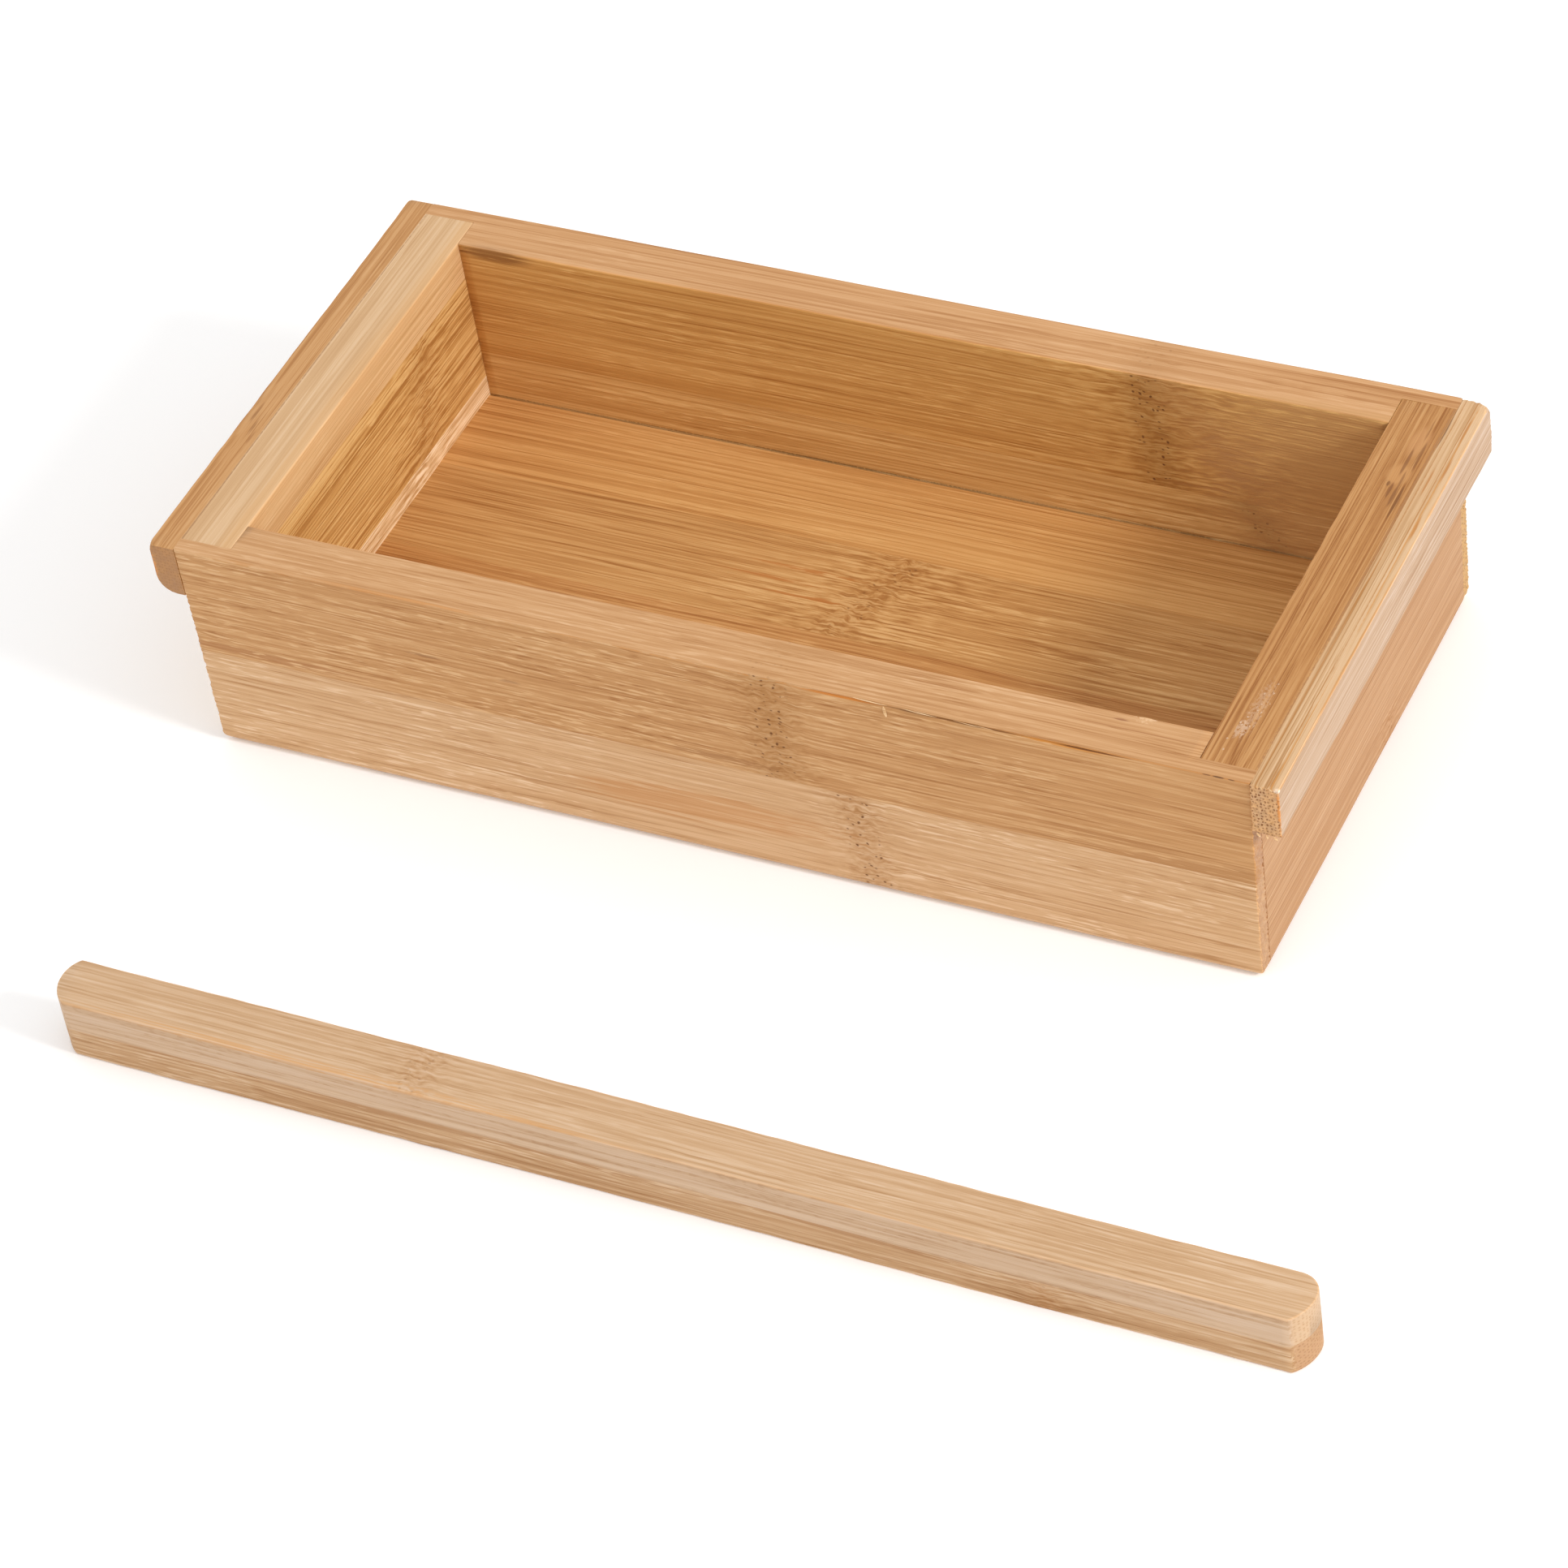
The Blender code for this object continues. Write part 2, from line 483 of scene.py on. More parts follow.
def swerved(tree, wood, rings, edge):
    """The same wood once its fibres wander a little and the knots have pushed them aside."""
    open_face = 1.0 - edge * EDGE_SWERVE_LOST
    c = wood.c + fibres(tree, wood, *WANDER) * WANDERING
    for ring in rings:
        swirl = ring.near * fibres(tree, wood, *SWIRL) * (SWIRLING * ring.knot.lumps)
        bend = ring.wide * fibres(tree, wood, *BEND) * BENDING
        c = c + (swirl + bend) * open_face
    return Grain(wood.a, c, wood.d)


def vessels(tree, wood, look):
    """Thin lines along the fibres, broken here and there: 0 to 1."""
    length = look.line_length * VESSEL_STRETCH
    line = abs(fibres(tree, wood, length, VESSEL_PITCH)).step(*VESSEL_STEP)
    return line * fibres(tree, wood, length * BREAK_STRETCH, BREAK_WIDTH).step(*BREAK_STEP)


def flecks(tree, wood, look, row, edge):
    """Short light and dark flecks along the rows, in drifts."""
    busy = 1.0 - edge * EDGE_FLECKS_LOST
    if look.calm[1]:
        busy = busy * (1.0 - wood.a.hill(*look.calm).step(*CALM_STEP) * CALMED)
    length, width = DRIFT
    drift = cloud(tree, wood.a / length + DRIFT_SHIFT, wood.c / width, wood.d / width)
    drift = drift.step(*DRIFT_STEP) * (1.0 - FLECKS_BETWEEN_DRIFTS) + FLECKS_BETWEEN_DRIFTS
    fleck = fibres(tree, wood, look.fleck_length, STREAK_WIDTH) + row * FLECKS_IN_ROWS
    light = fleck.step(*LIGHT_FLECK_STEP) * LIGHT_FLECKS
    dark = fleck.step(*DARK_FLECK_STEP) * DARK_FLECKS
    return (light - dark) * drift * busy * look.flecks


def lightness(tree, wood, look, rings, edge):
    """How light the wood is, from 0 in the darkest vessel to 1 in the lightest fibre."""
    row = fibres(tree, wood, look.line_length, FIBRE_WIDTH)
    value = BASE + flecks(tree, wood, look, row, edge)
    value = value + (row.step(*ROW_STEP) - 0.5) * (ROWS * look.streaks)
    streak = fibres(tree, wood, look.streak_length, STREAK_WIDTH)
    value = value + streak * (STREAKS * look.streaks)
    value = value + fibres(tree, wood, *HAIR) * (HAIRS * look.streaks)
    value = value + fibres(tree, wood, *BAND, detail=2.0) * (BANDS * look.bands)
    value = value + fibres(tree, wood, *PATCH) * (PATCHES * look.clouds)
    lines = edge * look.edge_lines + (1.0 - edge) * look.lines
    value = value - vessels(tree, wood, look) * lines * VESSELS
    dash = fibres(tree, wood, *DASH, detail=0.0).step(*DASH_STEP) * row.step(*DASH_ROW_STEP)
    value = value - dash * edge * (DASHES * look.edge_dashes)
    for ring in rings:
        lump = fibres(tree, wood, *LUMP, detail=2.0)
        value = value + ring.near * lump * (1.0 - edge) * (LUMPS * ring.knot.lumps)
        flame = fibres(tree, wood, *FLAME, detail=2.0)
        value = value + ring.wide * flame * (1.0 - edge) * (FLAMES * ring.knot.flames)
    return value


def pits_in(tree, wood, rings, edge):
    """Where the small dark pits of the knots are: 0 to 1."""
    along, across = PIT_PITCH
    found = 0.0
    for ring in rings:
        distance, chance = cells(tree, wood.a / along, wood.c / across, wood.d / across)
        belt = ring.away.hill(0.0, ring.knot.width * PIT_BELT).step(*PIT_BELT_STEP)
        hole = distance.step(*PIT_STEP) * chance.step(*PIT_CHANCE_STEP)
        found = hole * belt * ring.knot.pits + found
    return found * (1.0 - edge * EDGE_PITS_LOST)


def shaded(tree, tone, value):
    """The wood's colour at lightness VALUE, where 0.5 gives about TONE itself."""
    colour = tinted(tree, value.step(*DARKER_STEP), tone, DARKER)
    return tinted(tree, value.step(*LIGHTER_STEP), colour, LIGHTER)


def side_colour(tree, look, rings, edge, value, pits):
    """The colour of the faces along the fibres."""
    tone = mixed(tree, edge, linear(look.tone), linear(look.edge_tone or look.tone))
    colour = shaded(tree, tone, value)
    for ring in rings:
        share = ring.near * (1.0 - edge * EDGE_TINT_LOST) * ring.knot.tinted
        colour = mixed(tree, share, colour, linear(ring.knot.tint))
    colour = mixed(tree, pits * PIT_SHARE, colour, linear(PIT_COLOUR))
    # The rounded arrises get real wear and a painted highlight, both lightened by ARRIS_COLOUR.
    wear_and_sheen = tree.nodes.new("ShaderNodeAttribute")
    wear_and_sheen.attribute_name = "wear_and_sheen"
    return tinted(tree, Field(tree, wear_and_sheen.outputs["Fac"]) * ARRIS_SHARE, colour, ARRIS_COLOUR)


BUNDLE_ROWS = 0.66
BUNDLE_PITCH = 1.45
BUNDLE_HALF = 0.26
BUNDLE_RADIUS = 0.23
BUNDLE_CORE = 0.3  # share of a dot's area that is fully dark
ROW_STRAY = (1.6, 0.0, 0.45)  # (size, place, depth) of the noise that moves the dots across
PITCH_STRAY = (1.2, 9.0, 0.35)  # and of the noise that moves them along their rows
GRIME = (1.8, 3.0)  # (size, place) of the stains
GRIME_STEP = (-0.25, 0.25)
GRIME_SHARE = 0.5
DOTS_IN_CLEAN = 0.4


def stray(tree, c, d, size, place, depth):
    """Noise DEPTH high that moves the dots off their grid."""
    return cloud(tree, c / size, d / size, place) * depth


def bundles(tree, c, d):
    """The cut ends of the vessels: dots in pairs, in rows that are staggered by half a pitch."""
    c = c + stray(tree, c, d, *ROW_STRAY)
    d = d + stray(tree, c, d, *PITCH_STRAY)
    row = (c / BUNDLE_ROWS).floor()
    along = ((d / BUNDLE_PITCH + row * 0.5).fraction() - 0.5) * BUNDLE_PITCH
    beside = abs(along) - BUNDLE_HALF
    above = ((c / BUNDLE_ROWS).fraction() - 0.5) * BUNDLE_ROWS
    area = BUNDLE_RADIUS**2
    return (beside * beside + above * above).step(area, area * BUNDLE_CORE)


def end_colour(tree, c, d, look):
    """The end of a strip where a saw went across its fibres."""
    size, place = GRIME
    grime = cloud(tree, c / size, d / size, place, detail=3.0).step(*GRIME_STEP)
    dots = bundles(tree, c, d) * (grime * (1.0 - DOTS_IN_CLEAN) + DOTS_IN_CLEAN) * look.dots
    cut = mixed(tree, grime * GRIME_SHARE, linear(look.end_tone), linear(look.tone))
    return mixed(tree, dots, cut, linear(look.end_dots))


MARK_STEP = (0.12, 0.75)
FRAYING = 2.5
CRUMB = (0.45, 0.7, 0.45)
CRUMBLING = 5.0


def marked(tree, colour, mark, at, value):
    """COLOUR with one mark on it. The mark reaches further along the darker fibres."""
    share = at[X].hill(mark.at[X], mark.size[X]) * at[Y].hill(mark.at[Y], mark.size[Y])
    share = share * at[Z].hill(mark.at[Z], mark.size[Z])
    share = share * (1.0 + (value - 0.5) * (-FRAYING * mark.frayed))
    if mark.grit:
        crumbs = cloud(tree, *(place / size for place, size in zip(at, CRUMB)), detail=3.0)
        share = share * (1.0 + crumbs * (CRUMBLING * mark.grit))
    return mixed(tree, share.step(*MARK_STEP) * mark.amount, colour, linear(mark.colour))


WOOD_IOR = 1.45
WOOD_SPECULAR = 0.35
WOOD_ROUGHNESS = 0.64
WOOD_SMOOTHING = 0.16  # how much smoother the light fibres are
BUMP_STRENGTH = 0.5
BUMP_HEIGHT = 0.08 * MM


def finish(tree, shader, height):
    """Sanded, lightly oiled wood: the dark vessels lie a little lower and are rougher."""
    shader.inputs["IOR"].default_value = WOOD_IOR
    shader.inputs["Specular IOR Level"].default_value = WOOD_SPECULAR
    feed(tree, shader.inputs["Roughness"], WOOD_ROUGHNESS - height * WOOD_SMOOTHING)
    bump = tree.nodes.new("ShaderNodeBump")
    bump.inputs["Strength"].default_value = BUMP_STRENGTH
    bump.inputs["Distance"].default_value = BUMP_HEIGHT
    feed(tree, bump.inputs["Height"], height)
    tree.links.new(bump.outputs["Normal"], shader.inputs["Normal"])


def bamboo(name, look, grain, depth, seed):
    """One strip's material. Its fibres run along GRAIN, and its broad faces look along DEPTH."""
    material, tree, shader = new_material(name)
    coordinates = tree.nodes.new("ShaderNodeTexCoord")
    at = millimetres(tree, coordinates)
    facing = [abs(axis) for axis in parts_of(tree, coordinates.outputs["Normal"])]
    across = X + Y + Z - grain - depth
    wood = Grain(at[grain], at[across], at[depth] + SEED_STEP * seed)
    edge = facing[across].step(*EDGE_STEP)
    rings = rings_of(tree, wood, look.knots)
    wood = swerved(tree, wood, rings, edge)
    value = lightness(tree, wood, look, rings, edge)
    pits = pits_in(tree, wood, rings, edge)
    side = side_colour(tree, look, rings, edge, value, pits)
    end = end_colour(tree, at[across], at[depth], look)
    colour = mixed(tree, facing[grain].step(*END_STEP), side, end)
    for mark in look.marks:
        colour = marked(tree, colour, mark, at, value)
    tree.links.new(colour, shader.inputs["Base Color"])
    finish(tree, shader, value - pits)
    return material


# ------------------------ strips as worn solids

WELD = 1e-6
FLAT = radians(1.0)
SHARP = radians(50)
ALONG = 0.99  # how nearly a face has to look along an axis to lie across it
ARRIS_RADIUS = 0.30 * MM
ARRIS_SEGMENTS = 3
SLICE = 2.0 * MM
ON_PLANE = 0.02 * MM


def solid_of(node):
    """The node's solid as whole faces, without the triangles' inner edges."""
    bm = bmesh.new()
    bm.from_mesh(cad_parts[node].data)
    bmesh.ops.remove_doubles(bm, verts=bm.verts, dist=WELD)
    bmesh.ops.dissolve_limit(bm, angle_limit=FLAT, verts=bm.verts, edges=bm.edges)
    bm.normal_update()
    return bm


def pull(bm, axis, old, new):
    """Moves the face at OLD on AXIS to NEW."""
    for vert in bm.verts:
        if abs(vert.co[axis] - old) < ON_PLANE:
            vert.co[axis] = new


def lies_on(face, planes):
    """Whether the face lies on one of the (axis, place) planes."""
    centre = face.calc_center_median()
    return any(
        abs(face.normal[axis]) > ALONG and abs(centre[axis] - place) < ON_PLANE
        for axis, place in planes
    )


def meets_rail(edge):
    """Whether the edge runs along the joint between the box and a grip rail."""
    return all(
        abs(abs(vert.co.x) - HALF_LENGTH) < ON_PLANE and abs(vert.co.z - BOX_HEIGHT) < ON_PLANE
        for vert in edge.verts
    )


def round_arrises(bm, glued):
    """Rounds the sharp edges between two bare faces, and marks the rounded faces for wear and a
    painted highlight.
    """
    wear_and_sheen = bm.faces.layers.float.new("wear_and_sheen")
    bm.normal_update()
    edges = [
        edge
        for edge in bm.edges
        if len(edge.link_faces) == 2
        and edge.calc_face_angle() > SHARP
        and edge.is_convex
        and not meets_rail(edge)
        and not any(lies_on(face, glued) for face in edge.link_faces)
    ]
    made = bmesh.ops.bevel(
        bm,
        geom=edges,
        offset=ARRIS_RADIUS,
        segments=ARRIS_SEGMENTS,
        profile=0.5,
        affect="EDGES",
        clamp_overlap=True,
    )
    for face in made["faces"]:
        face[wear_and_sheen] = 1.0


def span(verts, axis):
    """The lowest and the highest place of the vertices on an axis."""
    places = [vert.co[axis] for vert in verts]
    return min(places), max(places)


def places_between(low, high, step):
    """The places that part the stretch from LOW to HIGH into even slices of about STEP."""
    count = round((high - low) / step)
    return [low + (high - low) * i / count for i in range(1, count)]


def cut(bm, axis, place, geometry=None):
    """Cuts the faces that cross PLACE on an axis, and gives the geometry it went through."""
    geometry = geometry or [*bm.verts, *bm.edges, *bm.faces]
    normal = Vector([1.0 if i == axis else 0.0 for i in (X, Y, Z)])
    centre = normal * place
    made = bmesh.ops.bisect_plane(bm, geom=geometry, dist=WELD, plane_co=centre, plane_no=normal)
    return made["geom"]


def cut_across(bm, axis):
    """Cuts the solid's surface into slices, so that it can be bent and worn."""
    for place in places_between(*span(bm.verts, axis), SLICE):
        cut(bm, axis, place)


FRAY_REACH = 0.9 * MM
FRAY_SLICE = 0.28 * MM
FRAY_PITCH = 0.45 * MM
FRAY_DEPTH = 0.34 * MM
FRAYED_SHARE = 0.6  # of the reach, in which the fibres are broken
FRAY_SWING = 1.1
FRAY_MEAN = 0.35


def facet_end(bm, axis, end, inward):
    """Cuts a strip's last stretch before END into fine facets."""
    cut(bm, axis, end + inward * FRAY_REACH)
    faces = [f for f in bm.faces if abs(f.calc_center_median()[axis] - end) < FRAY_REACH]
    geometry = list(dict.fromkeys(item for f in faces for item in (f, *f.edges, *f.verts)))
    for other in {X, Y, Z} - {axis}:
        low, high = span([vert for face in faces for vert in face.verts], other)
        for place in places_between(low, high, FRAY_SLICE):
            geometry = cut(bm, other, place, geometry)
        faces = [item for item in geometry if isinstance(item, bmesh.types.BMFace)]


def fray_end(bm, axis, end, top):
    """Breaks the fibres unevenly at a strip's END, below the height TOP."""
    inward = -1.0 if end > 0 else 1.0
    facet_end(bm, axis, end, inward)
    for vert in bm.verts:
        share = 1.0 - abs(vert.co[axis] - end) / (FRAY_REACH * FRAYED_SHARE)
        if share > 0.0 and vert.co.z < top:
            side_on = vert.co.copy()
            side_on[axis] = end
            broken = noise.noise(side_on / FRAY_PITCH) * FRAY_SWING + FRAY_MEAN
            vert.co[axis] += inward * max(broken, 0.0) * share * FRAY_DEPTH


@dataclass
class Crack:
    """A crack along X in a face that looks along -Y, in millimetres in the frame."""

    start: tuple
    end: tuple
    half_width: float
    depth: float


CRACK_WAVE = 3.0 * MM
CRACK_MEAN = 0.65
CRACK_LEAST = 0.1
CRACK_ENDS = 3.0  # how steeply a crack closes


def split_along(bm, crack):
    """Opens a crack in the solid."""
    start, end = (Vector(place) * MM for place in (crack.start, crack.end))
    middle = (start + end) / 2
    half_length = (end.x - start.x) / 2
    for offset in (-crack.half_width * MM, 0.0, crack.half_width * MM):
        cut(bm, Z, start.z + offset)
    for vert in bm.verts:
        on_line = abs(vert.co.z - start.z) < WELD and abs(vert.co.y - start.y) < ON_PLANE
        share = 1.0 - abs(vert.co.x - middle.x) / half_length
        if on_line and share > 0.0:
            torn = CRACK_MEAN + noise.noise(vert.co / CRACK_WAVE)
            vert.co.y += crack.depth * MM * min(share * CRACK_ENDS, 1.0) * max(torn, CRACK_LEAST)


NOISE_SEED = 7  # without a seed, the noise that bends the strips changes from run to run
WAVE = 38.0 * MM
WAVE_HEIGHT = 0.16 * MM
WEAR_WAVE = 4.5 * MM
WEAR_DEPTH = 0.09 * MM
WEAR_MEAN = -0.35
TAPER_BOTTOM = 0.995
TAPER_TOP = 1.002


def weather(bm, tapered_to=0.0):
    """Bends the strip with its neighbours, wears its arrises, and tapers it if it is the mold's."""
    wear_and_sheen = bm.faces.layers.float["wear_and_sheen"]
    bm.normal_update()
    moves = {}
    for vert in bm.verts:
        move = noise.noise_vector(vert.co / WAVE) * WAVE_HEIGHT
        if any(face[wear_and_sheen] for face in vert.link_faces):
            depth = noise.noise(vert.co / WEAR_WAVE) + WEAR_MEAN
            move += vert.normal * depth * WEAR_DEPTH
        if tapered_to:
            share = vert.co.z / tapered_to
            move.x += vert.co.x * (TAPER_BOTTOM + (TAPER_TOP - TAPER_BOTTOM) * share - 1.0)
        move.z = max(move.z, -vert.co.z)
        moves[vert] = move
    for vert, move in moves.items():
        vert.co += move


def shown(node, bm, body, material, place=Matrix.Identity(4)):
    """Puts bm in the place of the CAD node."""
    strip = new_object(f"{node}_wood", bm)
    strip.matrix_world = place
    strip.data.materials.append(material)
    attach(strip, body)
    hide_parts(node)


# ------------------------ what each strip looks like

CRACKS = {
    "front_wall_upper_strip": (Crack((19.0, -50.2, 44.58), (79.5, -50.2, 44.58), 0.10, 0.35),),
}

LEFT_JOINT = Mark((-100.0, 0.0, 45.0), (0.14, 300.0, 0.5), (150, 104, 62), 0.6, 1.0, 0.6)
JOINT = Mark((100.0, 0.0, 45.0), (0.20, 300.0, 0.5), (166, 118, 74), 0.8, 1.0, 1.2)

# The sawn ends of the end walls' strips butt against the lips, so they show only as a thin line
BUTTED = {"end_tone": (200, 156, 116), "dots": 0.1}
RIGHT_END = {"tone": (179, 134, 91), "flecks": 0.3, "streaks": 0.8, "line_length": 90.0, **BUTTED}

LOOKS = {
    "front_wall_upper_strip": Look(
        tone=(194, 144, 91),
        edge_tone=(197, 148, 99),
        streaks=0.9,
        flecks=1.7,
        fleck_length=4.5,
        streak_length=9.0,
        line_length=32.0,
        calm=(95.0, 35.0),
        knots=(Knot(13.7, width=5.6, lumps=1.6, tint=(166, 116, 60), tinted=0.5),),
        marks=(
            Mark((-53.0, -50.0, 32.5), (3.5, 2.0, 0.35), (140, 96, 58), 0.5),
            Mark((-37.0, -50.0, 30.6), (2.5, 2.0, 0.35), (140, 96, 58), 0.5),
            Mark((-85.0, -50.0, 23.4), (22.0, 2.0, 0.9), (172, 118, 70), 0.6),
            Mark((2.0, -50.0, 23.6), (9.0, 2.0, 0.8), (164, 116, 70), 0.45, 2.0),
            Mark((0.0, -50.2, 44.8), (140.0, 0.5, 0.18), (214, 146, 78), 0.45, 1.6),
            Mark((94.0, -50.2, 23.4), (30.0, 2.0, 2.0), (172, 122, 72), 0.55, 1.4),
            Mark((27.0, -50.2, 44.55), (8.0, 0.5, 0.36), (200, 122, 46), 0.95, 0.4),
            Mark((48.0, -50.2, 44.58), (13.0, 0.5, 0.20), (128, 80, 34), 0.9, 1.0),
            Mark((68.5, -50.2, 44.50), (9.0, 0.5, 0.42), (206, 134, 52), 0.95, 0.4),
            Mark((72.0, -50.2, 44.52), (7.0, 0.5, 0.18), (116, 68, 26), 0.95, 0.4),
            Mark((92.6, -50.2, 44.8), (0.7, 0.4, 0.12), (110, 72, 44), 0.8),
            Mark((94.6, -50.2, 44.8), (0.9, 0.4, 0.16), (96, 62, 38), 0.9),
            Mark((96.9, -50.2, 44.8), (0.5, 0.4, 0.12), (110, 72, 44), 0.8),
            Mark((78.6, -41.1, 45.0), (1.5, 0.9, 1.0), (230, 192, 150), 0.7, 1.8, 1.0),
            Mark((74.6, -42.3, 45.0), (1.2, 0.3, 1.0), (150, 98, 62), 0.8),
            Mark((80.0, -44.2, 45.0), (16.0, 0.12, 1.0), (160, 106, 62), 0.6),
        ),
        end_tone=(172, 130, 98),
        end_dots=(196, 160, 130),
        dots=0.4,
    ),
    "front_wall_lower_strip": Look(
        tone=(208, 165, 119),
        streaks=0.65,
        flecks=0.9,
        fleck_length=4.5,
        streak_length=12.0,
        line_length=32.0,
        calm=(-2.0, 22.0),
        knots=(Knot(28.0, 11.0, -0.12, width=4.4, lumps=1.5, tint=(178, 128, 76)),),
        marks=(Mark((-2.0, -50.0, 10.5), (22.0, 2.0, 3.5), (200, 140, 82), 0.5, 1.6),),
        end_tone=(176, 134, 98),
        end_dots=(200, 164, 130),
        dots=0.4,
    ),
    "back_wall_upper_strip": Look(
        tone=(208, 156, 88),
        edge_tone=(197, 146, 96),
        streak_length=24.0,
        line_length=90.0,
        bands=2.0,
        knots=(
            Knot(46.0, 31.0, -0.1, width=4.8, tint=(150, 102, 48), tinted=0.5, flames=0.8),
            Knot(58.0, 31.0, -0.6, 6.5, pits=0.0, lumps=0.5, flames=1.4, tint=(176, 124, 76)),
        ),
        marks=(
            Mark((-83.0, 40.6, 44.0), (7.0, 1.8, 1.6), (136, 88, 44), 0.8, 0.7),
            # Painted fill light: a lighter, greyer patch over the shaded inner corner at the right
            # end.
            Mark((84.0, 40.6, 30.0), (26.0, 2.0, 30.0), (206, 160, 108), 0.5, 0.6),
        ),
    ),
    "back_wall_lower_strip": Look(
        tone=(213, 165, 100),
        streaks=1.2,
        streak_length=24.0,
        line_length=90.0,
        bands=3.0,
        knots=(
            Knot(65.0, 15.0, -0.5, tint=(150, 106, 54), tinted=0.45, flames=0.8),
        ),
        marks=(
            # Painted shade: a thin dark line along the crease where the floor meets the back wall.
            Mark((0.0, 40.6, 9.9), (120.0, 1.0, 0.16), (130, 86, 46), 0.6, 1.0, 1.0),
            # Painted fill light: a lighter, greyer patch over the shaded inner corner at the right
            # end.
            Mark((84.0, 40.6, 10.0), (26.0, 2.0, 30.0), (206, 160, 108), 0.5, 0.6),
        ),
    ),
    "floor_strip_front": Look(tone=(190, 136, 73), flecks=0.2, lines=0.8, line_length=90.0),
    "floor_strip_mid_front": Look(
        tone=(189, 132, 73),
        streaks=1.2,
        flecks=0.8,
        lines=0.8,
        streak_length=14.0,
        line_length=40.0,
    ),
    "floor_strip_mid_back": Look(
        tone=(196, 143, 83),
        streaks=1.2,
        streak_length=12.0,
        line_length=36.0,
        lines=0.8,
        flecks=1.1,
        calm=(-65.0, 40.0),
        knots=(Knot(1.5, 5.0, 0.35, spread=16.0, lumps=2.4, tinted=0.3, pits=0.6, flames=1.5),),
        marks=(
            Mark((-12.0, 12.0, 9.8), (9.0, 0.5, 1.0), (186, 116, 54), 0.7, 1.4),
            Mark((-16.0, 8.6, 9.8), (8.0, 0.4, 1.0), (186, 116, 54), 0.7, 1.4),
            Mark((-9.0, 5.4, 9.8), (6.0, 0.5, 1.0), (186, 116, 54), 0.7, 1.4),
        ),
    ),
    "floor_strip_back": Look(
        tone=(206, 151, 88),
        flecks=0.4,
        lines=0.8,
        streaks=1.1,
        line_length=120.0,
        # Painted shade: a thin dark line along the crease where the floor meets the back wall.
        marks=(Mark((0.0, 40.5, 9.8), (120.0, 0.16, 1.0), (140, 92, 48), 0.5, 1.0, 1.0),),
    ),
    "left_end_bottom_strip": Look(
        tone=(233, 197, 149),
        streaks=1.8,
        bands=4.0,
        knots=(Knot(14.0, 12.0, pits=0.0, tinted=0.0, lumps=0.6, flames=1.6),),
        **BUTTED,
    ),
    "left_end_middle_strip": Look(
        tone=(207, 158, 93),
        streaks=2.1,
        flecks=1.3,
        bands=11.0,
        clouds=1.6,
        knots=(Knot(20.0, 27.0, 0.3, width=5.0, spread=13.0, tinted=0.3, pits=0.3, flames=1.5),),
    ),
    "left_end_top_strip": Look(
        tone=(218, 176, 123),
        edge_tone=(207, 168, 124),
        streaks=0.8,
        flecks=0.3,
        lines=0.8,
        line_length=90.0,
        marks=(
            Mark((-90.0, 0.0, 45.0), (2.8, 300.0, 2.0), (218, 172, 120), 0.5, 0.8),
            LEFT_JOINT,
        ),
        **BUTTED,
    ),
    "right_end_bottom_strip": Look(
        knots=(Knot(9.0, 5.0, pits=0.3, tinted=0.2),), **RIGHT_END
    ),
    "right_end_middle_strip": Look(**RIGHT_END),
    "right_end_top_strip": Look(
        tone=(174, 125, 76),
        streaks=1.35,
        edge_tone=(182, 128, 73),
        edge_lines=1.0,
        edge_dashes=0.15,
        knots=(Knot(26.0, 40.0, pits=0.6, tinted=0.3),),
        marks=(
            JOINT,
            Mark((95.0, -33.0, 45.0), (1.1, 5.5, 1.0), (214, 178, 146), 0.30, 0.5, 1.6),
            Mark((94.0, -38.6, 45.0), (0.8, 1.8, 1.0), (218, 186, 158), 0.45, 0.5, 1.6),
            Mark((96.6, 28.2, 45.0), (1.7, 2.4, 1.5), (204, 150, 94), 0.55),
            Mark((97.0, 37.0, 45.0), (1.4, 3.6, 1.5), (204, 150, 98), 0.50),
            Mark((98.6, 21.2, 45.0), (0.34, 3.2, 1.5), (126, 80, 40), 0.8),
            Mark((97.6, 22.6, 45.0), (0.28, 2.6, 1.5), (132, 84, 44), 0.8),
            Mark((96.5, 24.0, 45.0), (0.26, 1.7, 1.5), (132, 84, 44), 0.8),
            Mark((95.7, 25.5, 45.0), (0.34, 0.6, 1.5), (124, 80, 42), 0.8),
            Mark((97.6, 27.0, 45.0), (0.24, 2.2, 1.5), (140, 92, 50), 0.7),
            Mark((96.8, 31.6, 45.0), (0.26, 2.8, 1.5), (140, 92, 50), 0.8),
            Mark((98.3, 33.5, 45.0), (0.26, 3.2, 1.5), (140, 92, 50), 0.8),
            Mark((97.7, 40.5, 45.0), (0.24, 3.0, 1.5), (146, 96, 52), 0.7),
        ),
        **BUTTED,
    ),
    "left_grip_rail": Look(
        tone=(191, 139, 83),
        streaks=1.3,
        edge_tone=(191, 139, 85),
        line_length=40.0,
        knots=(Knot(-17.0, 40.0, pits=0.2),),
        end_tone=(168, 122, 80),
        end_dots=(150, 102, 60),
        marks=(
            LEFT_JOINT,
            Mark((-100.0, -47.0, 45.0), (0.16, 3.5, 0.5), (96, 62, 34), 0.9, 0.5),
            Mark((-104.9, -50.2, 40.0), (0.4, 0.5, 4.0), (206, 140, 78), 0.8),
            Mark((-103.6, -13.0, 45.0), (0.45, 3.4, 1.5), (150, 100, 54), 0.7),
            Mark((-102.2, -16.5, 45.0), (0.40, 2.4, 1.5), (150, 100, 54), 0.7),
            Mark((-104.4, -10.0, 45.0), (0.40, 2.6, 1.5), (156, 104, 56), 0.6),
